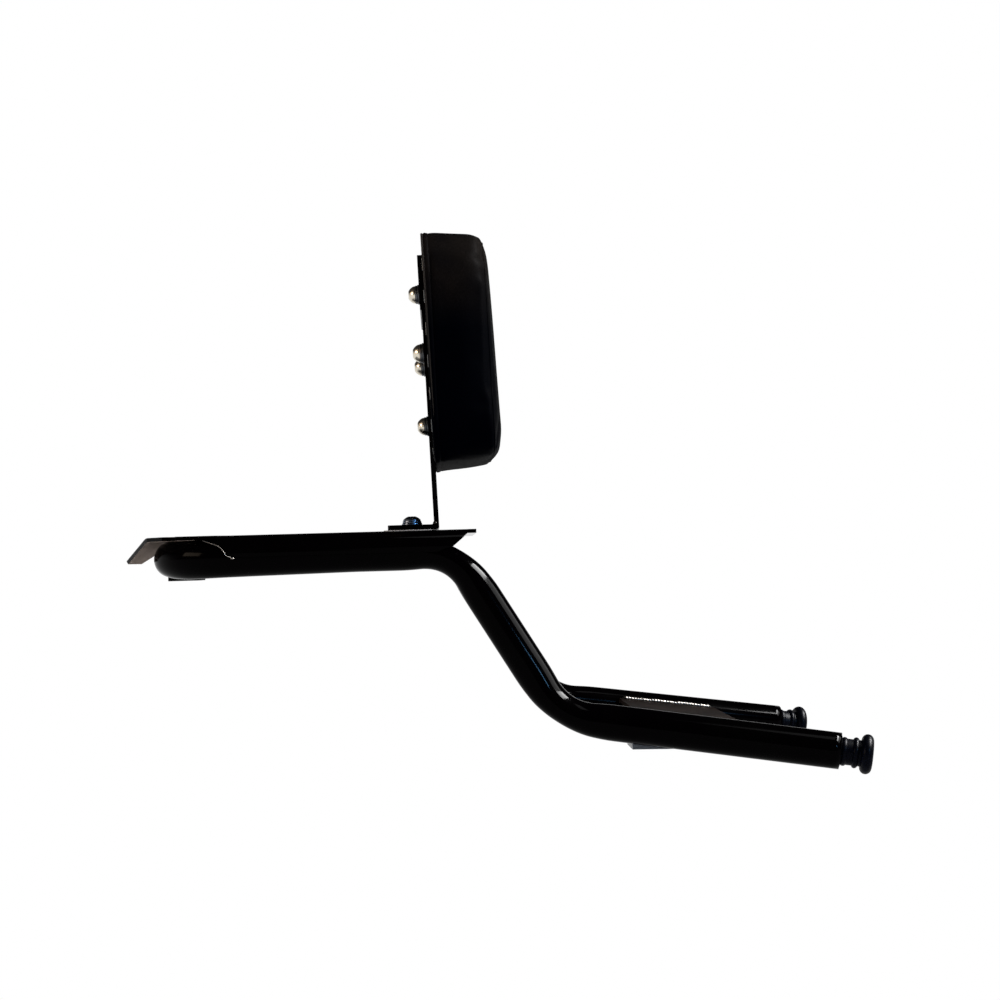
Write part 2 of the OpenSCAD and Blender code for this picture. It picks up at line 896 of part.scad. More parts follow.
// Round-headed bolt with a hexagon socket. Its bearing face is at zero and its shank points up.
module round_head_bolt(length, head_height) {
    cap = head_height - bolt_head_rim;
    half = bolt_head_diameter / 2;
    dome = (half * half + cap * cap) / (2 * cap);
    difference() {
        rotate_extrude($fn = 64) {
            translate([0, -cut / 2])
                square([thread_diameter / 2, length + cut / 2]);
            translate([0, -bolt_head_rim])
                square([half, bolt_head_rim]);
            intersection() {
                translate([0, dome - head_height])
                    circle(r = dome, $fn = 96);
                translate([0, -head_height])
                    square([half, head_height]);
            }
        }
        translate([0, 0, -head_height - cut])
            cylinder(d = socket_key / cos(30), h = socket_depth + cut, $fn = 6);
    }
}

module flat_washer() {
    difference() {
        cylinder(d = flat_washer_diameter, h = flat_washer_thickness, $fn = 64);
        translate([0, 0, -cut])
            cylinder(r = bore_radius, h = flat_washer_thickness + 2 * cut, $fn = 48);
    }
}

module spring_washer() {
    difference() {
        cylinder(d = spring_washer_diameter, h = spring_washer_thickness, $fn = 64);
        translate([0, 0, -cut])
            cylinder(r = bore_radius, h = spring_washer_thickness + 2 * cut, $fn = 48);
        translate([0, 0, spring_washer_thickness / 2])
            rotate([slit_tilt, 0, 0])
                translate([0, -spring_washer_split / 2, -2 * spring_washer_thickness])
                    cube([spring_washer_diameter, spring_washer_split, 4 * spring_washer_thickness]);
    }
}

module hex_nut() {
    chamfer = nut_across_flats / cos(30) / 2;
    difference() {
        intersection() {
            cylinder(d = nut_across_flats / cos(30), h = nut_height, $fn = 6);
            cylinder(r1 = chamfer - 0.5, r2 = chamfer - 0.5 + 2 * nut_height, h = nut_height, $fn = 64);
            cylinder(r1 = chamfer - 0.5 + 2 * nut_height, r2 = chamfer - 0.5, h = nut_height, $fn = 64);
        }
        translate([0, 0, -cut])
            cylinder(r = bore_radius, h = nut_height + 2 * cut, $fn = 48);
    }
}

module pad_bolts() {
    color([0.8, 0.8, 0.78])
        placed()
            at_pad_bolts(strip_thickness)
                translate([0, 0, -flat_washer_thickness - spring_washer_thickness])
                    round_head_bolt(pad_bolt_length, pad_head_height);
}

module pad_spring_washers() {
    color([0.7, 0.7, 0.7])
        placed()
            at_pad_bolts(strip_thickness)
                translate([0, 0, -flat_washer_thickness - spring_washer_thickness])
                    spring_washer();
}

module pad_flat_washers() {
    color([0.75, 0.75, 0.75])
        placed()
            at_pad_bolts(strip_thickness)
                translate([0, 0, -flat_washer_thickness])
                    flat_washer();
}

// Puts a thing at each foot bolt, at the given height, with Z pointing down along the bolt.
module at_foot_bolts(height) {
    for (side = [-1, 1])
        translate([-upright_setback - foot_bolt_setback, side * foot_bolt_half_spacing, height])
            rotate([180, 0, 0])
                children();
}

module foot_bolts() {
    color([0.8, 0.8, 0.78])
        placed()
            at_foot_bolts(foot_top + flat_washer_thickness + spring_washer_thickness)
                round_head_bolt(foot_bolt_length, foot_head_height);
}

module foot_spring_washers() {
    color([0.7, 0.7, 0.7])
        placed()
            at_foot_bolts(foot_top + flat_washer_thickness + spring_washer_thickness)
                spring_washer();
}

module foot_flat_washers() {
    color([0.75, 0.75, 0.75])
        placed()
            at_foot_bolts(foot_top + flat_washer_thickness)
                flat_washer();
}

module foot_under_washers() {
    color([0.75, 0.75, 0.75])
        placed()
            at_foot_bolts(plate_low)
                flat_washer();
}

module foot_nuts() {
    color([0.7, 0.7, 0.7])
        placed()
            at_foot_bolts(plate_low - flat_washer_thickness)
                hex_nut();
}

main_tube();
end_plug_left();
end_plug_right();
luggage_plate();
rear_rest_pad();
cross_plate();
mount_bracket_left();
mount_bracket_right();
foot_gasket();
backrest_upright();
upright_backing_strip();
pad_board();
pad_cushion();
pad_welt();
pad_tee_nuts();
pad_bolts();
pad_spring_washers();
pad_flat_washers();
foot_bolts();
foot_spring_washers();
foot_flat_washers();
foot_under_washers();
foot_nuts();
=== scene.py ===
"""Motorcycle luggage rack with a padded backrest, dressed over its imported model. Metres."""

import math

import bmesh
import bpy
from mathutils import Matrix, Vector, noise
from mathutils.bvhtree import BVHTree


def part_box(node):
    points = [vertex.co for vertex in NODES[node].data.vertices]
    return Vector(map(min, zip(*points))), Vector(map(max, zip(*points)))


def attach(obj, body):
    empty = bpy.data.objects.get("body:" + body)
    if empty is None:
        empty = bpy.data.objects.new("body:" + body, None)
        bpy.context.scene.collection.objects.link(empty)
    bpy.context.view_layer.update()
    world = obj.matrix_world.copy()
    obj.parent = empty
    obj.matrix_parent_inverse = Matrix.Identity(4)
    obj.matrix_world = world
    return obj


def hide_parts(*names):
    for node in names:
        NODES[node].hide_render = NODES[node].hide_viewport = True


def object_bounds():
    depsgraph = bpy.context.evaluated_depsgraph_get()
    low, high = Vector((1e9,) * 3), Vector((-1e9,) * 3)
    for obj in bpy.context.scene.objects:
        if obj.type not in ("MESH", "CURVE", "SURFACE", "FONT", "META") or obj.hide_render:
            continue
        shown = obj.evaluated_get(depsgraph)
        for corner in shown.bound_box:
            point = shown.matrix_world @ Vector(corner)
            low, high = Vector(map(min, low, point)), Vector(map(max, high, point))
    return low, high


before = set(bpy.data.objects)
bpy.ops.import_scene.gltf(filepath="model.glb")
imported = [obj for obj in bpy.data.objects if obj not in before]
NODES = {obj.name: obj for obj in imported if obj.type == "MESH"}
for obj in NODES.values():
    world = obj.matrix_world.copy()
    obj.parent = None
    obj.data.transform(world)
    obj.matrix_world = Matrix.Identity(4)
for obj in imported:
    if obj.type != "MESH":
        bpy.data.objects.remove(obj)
CAD_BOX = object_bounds()


# Camera
# It stands level with the rack on its right side and looks across it. Its place comes from how
# the two sides of the rack spread in the photograph. All pixels are those of a 1000 px frame.
EYE = Vector((-0.1700, -1.457, 0.1352))
FOCUS_PX = 1930.0
FRAME_PX = 1000.0
ROLL = math.radians(1.6)
ACROSS_PX = Vector((-60.0, -62.0, -FOCUS_PX))


def aim_camera():
    """Turns the view so that the rack's left to right line falls on its place in the frame."""
    across = ACROSS_PX.normalized()
    ahead = Vector((math.cos(ROLL), math.sin(ROLL), 0.0))
    ahead = (ahead - ahead.dot(across) * across).normalized()
    up = ahead.cross(across)
    turn = Matrix((
        (ahead.x, across.x, up.x),
        (ahead.y, across.y, up.y),
        (ahead.z, across.z, up.z),
    )).transposed()
    lens = bpy.data.cameras.new("camera")
    lens.sensor_width = 36.0
    lens.sensor_fit = "HORIZONTAL"
    lens.lens = lens.sensor_width * FOCUS_PX / FRAME_PX
    lens.clip_start = 0.05
    lens.clip_end = 30.0
    camera = bpy.data.objects.new("camera", lens)
    camera.matrix_world = Matrix.Translation(EYE) @ turn.to_4x4()
    bpy.context.scene.collection.objects.link(camera)
    bpy.context.scene.camera = camera


aim_camera()
bpy.context.scene.view_settings.view_transform = "Standard"


# Studio
# A pale floor and backdrop, which gloss sees as white too, and a dark room behind the camera. Soft
# lamps hang above, in front and behind. A bright window and a bluish slit only give glints.
WHITE = (1.0, 1.0, 1.0, 1.0)
ROOM_LIGHT = 0.45
ROOM_DARK = 0.012
BACKDROP_SIDE = {"From Min": -0.15, "From Max": 0.35}
BACKDROP_TOP = {"From Min": 0.32, "From Max": 0.06}
FLOOR_GAP = 0.0005
FLOOR_REACH = 6.0
RACK_MIDDLE = (-0.12, -0.09, 0.08)


def linear(code):
    """An sRGB colour, given as six hex digits, in the linear values that shaders and lamps take."""
    channels = []
    for start in (0, 2, 4):
        value = int(code[start:start + 2], 16) / 255.0
        channels.append(value / 12.92 if value <= 0.04045 else ((value + 0.055) / 1.055) ** 2.4)
    return (*channels, 1.0)


def add_node(tree, kind, settings=None, links=None):
    """Adds a node with its settings and with links into its sockets."""
    node = tree.nodes.new(kind)
    for name, value in (settings or {}).items():
        if isinstance(name, int) or name in node.inputs:
            node.inputs[name].default_value = value
        else:
            setattr(node, name, value)
    for name, source in (links or {}).items():
        tree.links.new(source, node.inputs[name])
    return node


def build_world():
    """White to the camera. Gloss sees the backdrop white and the rest of the room dark."""
    world = bpy.data.worlds.new("studio_room")
    bpy.context.scene.world = world
    world.use_nodes = True
    tree = world.node_tree
    tree.nodes.clear()
    place = add_node(tree, "ShaderNodeTexCoord")
    aim = add_node(tree, "ShaderNodeSeparateXYZ", links={"Vector": place.outputs["Generated"]})
    side = add_node(tree, "ShaderNodeMapRange", BACKDROP_SIDE, {"Value": aim.outputs["Y"]})
    top = add_node(tree, "ShaderNodeMapRange", BACKDROP_TOP, {"Value": aim.outputs["Z"]})
    pale = add_node(tree, "ShaderNodeMath", {"operation": "MULTIPLY"},
                    {0: side.outputs["Result"], 1: top.outputs["Result"]})
    shade = add_node(tree, "ShaderNodeMapRange", {"To Min": ROOM_DARK, "To Max": 1.0},
                     {"Value": pale.outputs[0]})
    room = add_node(tree, "ShaderNodeBackground", links={"Color": shade.outputs["Result"]})
    soft = add_node(tree, "ShaderNodeBackground", {"Color": WHITE, "Strength": ROOM_LIGHT})
    white = add_node(tree, "ShaderNodeBackground", {"Color": WHITE, "Strength": 1.0})
    path = add_node(tree, "ShaderNodeLightPath")
    lit = add_node(tree, "ShaderNodeMixShader", links={
        0: path.outputs["Is Glossy Ray"], 1: soft.outputs[0], 2: room.outputs[0],
    })
    plain = add_node(tree, "ShaderNodeMath", {"operation": "MAXIMUM"}, {
        0: path.outputs["Is Camera Ray"], 1: path.outputs["Is Transmission Ray"],
    })
    seen = add_node(tree, "ShaderNodeMixShader", links={
        0: plain.outputs[0], 1: lit.outputs[0], 2: white.outputs[0],
    })
    add_node(tree, "ShaderNodeOutputWorld", links={"Surface": seen.outputs[0]})


def build_floor():
    """Matt pale paint that the camera and gloss see as plain white. The rack stands just over it."""
    mesh = bpy.data.meshes.new("studio_floor")
    shape = bmesh.new()
    bmesh.ops.create_grid(shape, x_segments=1, y_segments=1, size=FLOOR_REACH)
    bmesh.ops.translate(shape, verts=shape.verts, vec=(0.0, 0.0, CAD_BOX[0][2] - FLOOR_GAP))
    shape.to_mesh(mesh)
    shape.free()
    floor = bpy.data.objects.new("studio_floor", mesh)
    bpy.context.scene.collection.objects.link(floor)
    matter = bpy.data.materials.new("pale_floor_paint")
    matter.use_nodes = True
    tree = matter.node_tree
    tree.nodes.clear()
    dull = add_node(tree, "ShaderNodeBsdfDiffuse", {"Color": (0.8, 0.8, 0.8, 1.0)})
    glow = add_node(tree, "ShaderNodeEmission", {"Color": WHITE, "Strength": 1.0})
    path = add_node(tree, "ShaderNodeLightPath")
    plain = add_node(tree, "ShaderNodeMath", {"operation": "MAXIMUM"}, {
        0: path.outputs["Is Camera Ray"], 1: path.outputs["Is Glossy Ray"],
    })
    seen = add_node(tree, "ShaderNodeMixShader", links={
        0: plain.outputs[0], 1: dull.outputs[0], 2: glow.outputs[0],
    })
    add_node(tree, "ShaderNodeOutputMaterial", links={"Surface": seen.outputs[0]})
    mesh.materials.append(matter)


def add_softbox(name, place, target, size, power, colour="ffffff", glints=False):
    """A square lamp aimed at a point. One for glints shows in gloss only and lights no surface."""
    lamp = bpy.data.lights.new(name, "AREA")
    lamp.color = linear(colour)[:3]
    lamp.shape = "RECTANGLE"
    lamp.size = size[0]
    lamp.size_y = size[1]
    lamp.energy = power
    box = bpy.data.objects.new(name, lamp)
    aim = (Vector(target) - Vector(place)).to_track_quat("-Z", "Y")
    box.matrix_world = Matrix.Translation(place) @ aim.to_matrix().to_4x4()
    box.visible_diffuse = not glints
    bpy.context.scene.collection.objects.link(box)


build_world()
build_floor()
add_softbox("lamp_above", (0.5, -0.3, 1.9), (0.0, 0.0, 0.05), (0.9, 0.3), 5.0)
add_softbox("lamp_broad_front", (1.50, -0.12, 1.05), RACK_MIDDLE, (1.3, 0.45), 40.0)
add_softbox("lamp_rear_warm", (-1.85, -0.75, 0.75), (-0.3, -0.05, 0.2), (0.8, 0.5), 15.0, "ffe6cc")
add_softbox("lamp_window", (1.10, -0.09, 1.27), RACK_MIDDLE, (1.15, 0.34), 260.0, glints=True)
add_softbox("lamp_side_slit", (0.91, -1.43, 0.71), RACK_MIDDLE, (0.10, 0.16), 14.0, "7fc4ff", True)


# Main tube
# One 25.4 mm steel tube, bent cold on a small press, which flattens the outer wall of each bend.
# It is sprayed gloss black after welding. Both front ends stay open for the plugs.
MM = 0.001
TUBE_RADIUS = 12.7 * MM
TUBE_WALL = 2.0 * MM
TUBE_SIDES = 64
TUBE_CORNERS = [
    Vector((-366.2, 0.0, 142.472)) * MM,
    Vector((-366.2, 85.0, 142.472)) * MM,
    Vector((-159.6, 85.0, 142.472)) * MM,
    Vector((-87.5, 94.0, 23.872)) * MM,
    Vector((103.0, 125.0, -3.128)) * MM,
]
TUBE_BENDS = [
    {"radius": 0.0},
    {"radius": 48.0 * MM, "outer": 1.4 * MM, "inner": 0.6 * MM, "swell": 0.8 * MM},
    {"radius": 45.0 * MM, "outer": 3.3 * MM, "inner": 1.8 * MM, "swell": 0.5 * MM},
    {"radius": 52.0 * MM, "outer": 2.6 * MM, "inner": 1.6 * MM, "swell": 0.5 * MM},
    {"radius": 0.0},
]
POINT_STEP = 5.0 * MM
BEND_STEPS = 22
FLAT_RUN_OUT = 14.0 * MM
RUN_SAG = 1.2 * MM
SAG_BEHIND = -230.0 * MM
SAG_FADE = 80.0 * MM
SAG_BESIDE = 50.0 * MM
SAG_SIDE_FADE = 25.0 * MM
ORANGE_PEEL = 3.2 * MM


def add_piece(name, shape, smooth=True):
    """Makes a finished piece of a bmesh, in place in the rack's own frame."""
    mesh = bpy.data.meshes.new(name)
    shape.to_mesh(mesh)
    shape.free()
    for face in mesh.polygons:
        face.use_smooth = smooth
    piece = bpy.data.objects.new(name, mesh)
    bpy.context.scene.collection.objects.link(piece)
    return piece


def sweep(points, radii, sides, closed=False, reference=None, squeeze=None):
    """A round skin along the points, as a closed ring or with open ends."""
    last = len(points) if closed else len(points) - 1
    frames = []
    side = Vector(reference) if reference else Vector((0.13, 0.21, 0.97))
    for k, point in enumerate(points):
        before = points[k - 1] if closed or k else point
        after = points[(k + 1) % len(points)] if closed or k < last else point
        ahead = (after - before).normalized()
        if reference:
            side = Vector(reference)
        side = (side - side.dot(ahead) * ahead).normalized()
        frames.append((ahead, side, ahead.cross(side)))
    shape = bmesh.new()
    bmesh.ops.create_grid(shape, x_segments=last, y_segments=sides, size=1.0)
    for vert in shape.verts:
        k = round((vert.co.x + 1.0) / 2.0 * last) % len(points)
        turn = -(vert.co.y + 1.0) * math.pi
        ahead, side, rim = frames[k]
        offset = radii[k] * (math.cos(turn) * side + math.sin(turn) * rim)
        if squeeze:
            offset = squeeze(k, offset, ahead)
        vert.co = points[k] + offset
    bmesh.ops.remove_doubles(shape, verts=shape.verts, dist=1e-7)
    return shape


def cap_ends(shape):
    """Closes the open ends of a skin."""
    rims = [edge for edge in shape.edges if edge.is_boundary]
    bmesh.ops.holes_fill(shape, edges=rims, sides=0)
    return shape


def tube_walk():
    """Points along the left half of the tube's axis, and how far each bend turns.

    Each point comes with the way to the inside of its bend, the bend's number, and how far it lies
    outside the bend along the axis, which is less than zero within it.
    """
    legs = [TUBE_CORNERS[i + 1] - TUBE_CORNERS[i] for i in range(4)]
    heads = [leg.normalized() for leg in legs]
    turns = [0.0] + [heads[i - 1].angle(heads[i]) for i in range(1, 4)] + [0.0]
    backs = [TUBE_BENDS[i]["radius"] * math.tan(turns[i] / 2.0) for i in range(5)]
    walk = []
    for i, head in enumerate(heads):
        length = legs[i].length - backs[i] - backs[i + 1]
        steps = max(4, round(length / POINT_STEP))
        for k in range(steps + 1 if i == 3 else steps):
            run = length * k / steps
            near = i if run < length / 2.0 else i + 1
            gap = min(run, length - run)
            if TUBE_BENDS[near]["radius"] == 0.0:
                gap = FLAT_RUN_OUT
            other = heads[min(near, 3)] if near > i else -heads[max(near - 1, 0)]
            inward = other - other.dot(head) * head
            walk.append((TUBE_CORNERS[i] + head * (backs[i] + run), inward, near, gap))
        if i == 3:
            break
        bend = TUBE_BENDS[i + 1]
        inward = (heads[i + 1] - heads[i + 1].dot(head) * head).normalized()
        entry = TUBE_CORNERS[i + 1] - head * backs[i + 1]
        middle = entry + inward * bend["radius"]
        spin = head.cross(inward)
        for k in range(BEND_STEPS):
            angle = turns[i + 1] * k / BEND_STEPS
            arm = Matrix.Rotation(angle, 3, spin) @ (entry - middle)
            inside = -bend["radius"] * min(angle, turns[i + 1] - angle)
            walk.append((middle + arm, -arm, i + 1, inside))
    return walk, turns


def build_tube():
    """The tube's left half, pressed oval at its bends, mirrored and given its wall."""
    walk, turns = tube_walk()

    def squeeze(k, offset, ahead):
        inward, near, gap = walk[k][1:]
        bend = TUBE_BENDS[near]
        if bend["radius"] == 0.0 or gap >= FLAT_RUN_OUT or inward.length < 1e-6:
            return offset
        half = bend["radius"] * turns[near] / 2.0
        weight = math.cos(math.pi / 2.0 * (half + gap) / (half + FLAT_RUN_OUT)) ** 2
        inward = (inward - inward.dot(ahead) * ahead).normalized()
        rim = ahead.cross(inward)
        depth = offset.dot(inward) / TUBE_RADIUS
        press = bend["inner"] if depth > 0.0 else bend["outer"]
        wide = offset.dot(rim) / TUBE_RADIUS
        # The loop's corner doesn't swell upwards, where the plate lies on it.
        if near == 1 and offset.z > 0.0:
            wide = 0.0
        return offset - inward * depth * press * weight + rim * wide * bend["swell"] * weight

    def sag(k, offset, ahead):
        """The run is a little deeper towards its rear end than a round tube."""
        place = walk[k][0]
        offset = squeeze(k, offset, ahead)
        rear = min(max((SAG_BEHIND - place.x) / SAG_FADE, 0.0), 1.0)
        side = min(max((place.y - SAG_BESIDE) / SAG_SIDE_FADE, 0.0), 1.0)
        offset.z -= RUN_SAG * rear * side * max(0.0, -offset.z / TUBE_RADIUS)
        return offset

    points = [step[0] for step in walk]
    shape = sweep(points, [TUBE_RADIUS] * len(points), TUBE_SIDES, squeeze=sag)
    bmesh.ops.mirror(shape, geom=shape.verts[:] + shape.edges[:] + shape.faces[:],
                     axis="Y", merge_dist=1e-5)
    bmesh.ops.recalc_face_normals(shape, faces=shape.faces)
    tube = add_piece("bent_tube", shape)
    wall = tube.modifiers.new("wall", "SOLIDIFY")
    wall.thickness = TUBE_WALL
    wall.offset = -1.0
    return tube


def new_material(name):
    """An empty material, its nodes and the coordinates in the rack's own frame."""
    matter = bpy.data.materials.new(name)
    matter.use_nodes = True
    tree = matter.node_tree
    tree.nodes.clear()
    return matter, tree, add_node(tree, "ShaderNodeTexCoord").outputs["Object"]


def patchy_material(name, shader, colours, patches, grain, depth,
                    rough=None, fade=(0.0, 1.0), dull=(0.0, 1.0)):
    """A finish whose colour and gloss drift in soft patches, over a fine grain in relief.

    Patches and grain are given by size, detail and roughness of their noise. The two colours, and
    the two roughness values, each go to the ends of a range of the patches.
    """
    matter, tree, place = new_material(name)
    cloud, fine = (
        add_node(tree, "ShaderNodeTexNoise", {
            "Scale": 1.0 / size, "Detail": detail, "Roughness": rise,
        }, {"Vector": place}).outputs["Fac"]
        for size, detail, rise in (patches, grain)
    )
    worn = add_node(tree, "ShaderNodeMapRange", {"From Min": fade[0], "From Max": fade[1]},
                    {"Value": cloud})
    tint = add_node(tree, "ShaderNodeMix", {
        "data_type": "RGBA", "A": linear(colours[0]), "B": linear(colours[1]),
    }, {"Factor": worn.outputs["Result"]})
    bump = add_node(tree, "ShaderNodeBump", {"Strength": 1.0, "Distance": depth}, {"Height": fine})
    skin = add_node(tree, "ShaderNodeBsdfPrincipled", shader, {
        "Base Color": tint.outputs["Result"], "Normal": bump.outputs["Normal"],
    })
    if rough:
        sheen = add_node(tree, "ShaderNodeMapRange", {
            "From Min": dull[0], "From Max": dull[1], "To Min": rough[0], "To Max": rough[1],
        }, {"Value": cloud})
        tree.links.new(sheen.outputs["Result"], skin.inputs["Roughness"])
    add_node(tree, "ShaderNodeOutputMaterial", links={"Surface": skin.outputs["BSDF"]})
    return matter


def paint_material(name, colour, faded, gloss, depth, ior=1.065, patch=45.0 * MM):
    """Sprayed paint on steel: a faint orange peel, and patches where the gloss is a little duller.

    Its index is well under a real paint's 1.5, which would mirror the white studio as grey. So
    the black stays deep, and only lamps and grazing angles show in it.
    """
    return patchy_material(name, {"IOR": ior}, (colour, faded), (patch, 3.0, 0.5),
                           (ORANGE_PEEL, 1.0, 0.5), depth, (gloss, gloss + 0.06), (0.25, 0.8), (0.35, 0.7))


tube = build_tube()
tube.data.materials.append(paint_material("black_gloss_paint", "010001", "020202", 0.07, 0.004 * MM))
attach(tube, "root")
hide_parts("main_tube")


# Luggage plate
# A 2.8 mm steel sheet with two rows of strap slots. Its sides are rolled down over the tubes and
# its rear end is folded down. Its cut edges are dressed and it is painted with the tube.
SHARP_EDGE = math.radians(35.0)
# Behind this, faces that look down are painted as a reflection of the pale floor.
PAINTED_GLARE_BEHIND = -343.0 * MM
PAINTED_GLARE_FACES_BELOW = -0.3
FLANGE_RADIUS = 15.5 * MM
FLANGE_TURNS = range(78, -60, -3)
FLANGE_CUT_BEHIND = -0.355
CUT_SEARCH_START = -0.42
CUT_SEARCH_REACH = 0.2
# The light steel line along each flange's rim is partly worn paint and partly a painted highlight of its
# rounded edge.
WORN_RIM_HIGHLIGHT = 0.22 * MM
TACK_SIZE = Vector((1.3, 0.7, 0.7)) * MM


def dress_node(name, matter, radius=0.0):
    """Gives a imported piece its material, and breaks its sharp edges as a file or a press would."""
    node = NODES[name]
    node.data.materials.clear()
    node.data.materials.append(matter)
    if radius:
        join = node.modifiers.new("join", "WELD")
        join.merge_threshold = 0.004 * MM
        edge = node.modifiers.new("edge", "BEVEL")
        edge.width = radius
        edge.segments = 2
        edge.limit_method = "ANGLE"
        edge.angle_limit = SHARP_EDGE
        edge.harden_normals = True


def plate_paint():
    """Gloss black outside. Under the rear end, faces that look down are painted pale brown grey with their
    gloss nearly off: a painted reflection of the pale floor.
    """
    matter, tree, place = new_material("gloss_paint_with_painted_floor_glare")
    patches = add_node(tree, "ShaderNodeTexNoise", {"Scale": 1.0 / (30.0 * MM), "Detail": 4.0},
                       {"Vector": place}).outputs["Fac"]
    peel = add_node(tree, "ShaderNodeTexNoise", {"Scale": 1.0 / ORANGE_PEEL, "Detail": 1.0},
                    {"Vector": place}).outputs["Fac"]
    face = add_node(tree, "ShaderNodeNewGeometry")
    turned = add_node(tree, "ShaderNodeSeparateXYZ", links={"Vector": face.outputs["Normal"]})
    spot = add_node(tree, "ShaderNodeSeparateXYZ", links={"Vector": place})
    under = add_node(tree, "ShaderNodeMath", {"operation": "LESS_THAN", 1: PAINTED_GLARE_FACES_BELOW},
                     {0: turned.outputs["Z"]})
    rear = add_node(tree, "ShaderNodeMath", {"operation": "LESS_THAN", 1: PAINTED_GLARE_BEHIND},
                    {0: spot.outputs["X"]})
    painted_glare_zone = add_node(tree, "ShaderNodeMath", {"operation": "MULTIPLY"},
                    {0: under.outputs[0], 1: rear.outputs[0]}).outputs[0]
    # The second pair of colours is the painted reflection of the pale floor.
    black, painted_floor_glare = (
        add_node(tree, "ShaderNodeMix", {
            "data_type": "RGBA", "A": linear(first), "B": linear(second),
        }, {"Factor": patches}).outputs["Result"]
        for first, second in (("010001", "020202"), ("756b65", "887f79"))
    )
    coat = add_node(tree, "ShaderNodeMix", {"data_type": "RGBA"}, {"Factor": painted_glare_zone, "A": black, "B": painted_floor_glare})
    # Where the floor's reflection is painted, the surface is rougher and its gloss nearly off.
    rough, mirror = (
        add_node(tree, "ShaderNodeMapRange", {"To Min": painted, "To Max": glare_zone_value}, {"Value": painted_glare_zone})
        for painted, glare_zone_value in ((0.08, 0.6), (0.5, 0.05))
    )
    bump = add_node(tree, "ShaderNodeBump", {"Strength": 1.0, "Distance": 0.004 * MM}, {"Height": peel})
    skin = add_node(tree, "ShaderNodeBsdfPrincipled", {"IOR": 1.065}, {
        "Base Color": coat.outputs["Result"],
        "Roughness": rough.outputs["Result"],
        "Specular IOR Level": mirror.outputs["Result"],
        "Normal": bump.outputs["Normal"],
    })
    add_node(tree, "ShaderNodeOutputMaterial", links={"Surface": skin.outputs["BSDF"]})
    return matter


def skin_tree(piece):
    """A piece's finished surface, for rays that look for a place on it."""
    return BVHTree.FromObject(piece, bpy.context.evaluated_depsgraph_get())


def flange_points():
    """Where lines along the tube, at the flange's outside, first meet the flange's rear cut."""
    plate = skin_tree(NODES["luggage_plate"])
    run = TUBE_CORNERS[1]
    points = []
    for angle in FLANGE_TURNS:
        turn = math.radians(angle)
        start = Vector((CUT_SEARCH_START, -run.y - FLANGE_RADIUS * math.cos(turn),
                        run.z + FLANGE_RADIUS * math.sin(turn)))
        hit = plate.ray_cast(start, Vector((1.0, 0.0, 0.0)), CUT_SEARCH_REACH)[0]
        if hit and hit.x > FLANGE_CUT_BEHIND:
            points.append(hit)
    return points


def add_flange_edge(matter):
    """The filed rear cut of each flange, with a light steel line along its outer rim, partly worn paint and
    partly a painted highlight of the rounded edge, and a tack weld at its foot.
    """
    rim = flange_points()
    for flip, tag in ((1.0, "right"), (-1.0, "left")):
        points = [Vector((point.x, point.y * flip, point.z)) for point in rim]
        edge = add_piece("flange_rim_highlight_" + tag, cap_ends(sweep(points, [WORN_RIM_HIGHLIGHT] * len(points), 8)))
        shape = bmesh.new()
        bmesh.ops.create_icosphere(shape, subdivisions=3, radius=1.0)
        for vert in shape.verts:
            vert.co *= 1.0 + 0.15 * noise.noise(vert.co * 2.2)
        bmesh.ops.scale(shape, vec=TACK_SIZE, verts=shape.verts)
        bmesh.ops.translate(shape, vec=points[-1] + Vector((1.2, 0.2 * flip, -0.6)) * MM, verts=shape.verts)
        for piece in (edge, add_piece("flange_tack_" + tag, shape)):
            piece.data.materials.append(matter)
            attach(piece, "root")


def metal_material(name, colour, shade, rough):
    """Plated or bright steel: fine blotches in tone and gloss, and light turning marks."""
    return patchy_material(name, {"Metallic": 1.0}, (colour, shade), (4.0 * MM, 4.0, 0.6),
                           (0.25 * MM, 2.0, 0.5), 0.01 * MM, (rough, rough + 0.18))


# The light steel is partly worn paint and partly a painted highlight of the rounded edge. The tack weld is
# of the same steel.
add_flange_edge(metal_material("worn_steel_and_painted_highlight", "8f8a84", "5f5b57", 0.4))
dress_node("luggage_plate", plate_paint(), 0.35 * MM)


# Rear rest pad
# A thin block of dark rubber, cut from sheet and fixed under the loop. The rack rests on it when
# it is off the motorcycle, so it is dull and a little dusty.
def rubber_material(name, colour, worn, rough):
    """Rubber: nearly matt, with a fine grain and dusty patches."""
    return patchy_material(name, {"IOR": 1.09}, (colour, worn), (12.0 * MM, 4.0, 0.5),
                           (0.4 * MM, 2.0, 0.5), 0.03 * MM, (rough, rough + 0.15))


dress_node("rear_rest_pad", rubber_material("matt_black_rubber", "030303", "070606", 0.5), 0.5 * MM)


# Cross plate
# A flat steel plate let in between the two front arms and welded to them along both edges.
# Its paint is thin and brown with dust, so it looks greyer than the tube.
BEAD_PITCH = 2.4 * MM
BEAD_TAIL = 3.0 * MM
BEAD_INSET = 3.0 * MM
CROSS_BEAD_RADIUS = 1.9 * MM
CROSS_BEADS = {"_top": (6.9 * MM, 11.6 * MM), "_under": (3.0 * MM, 12.9 * MM)}


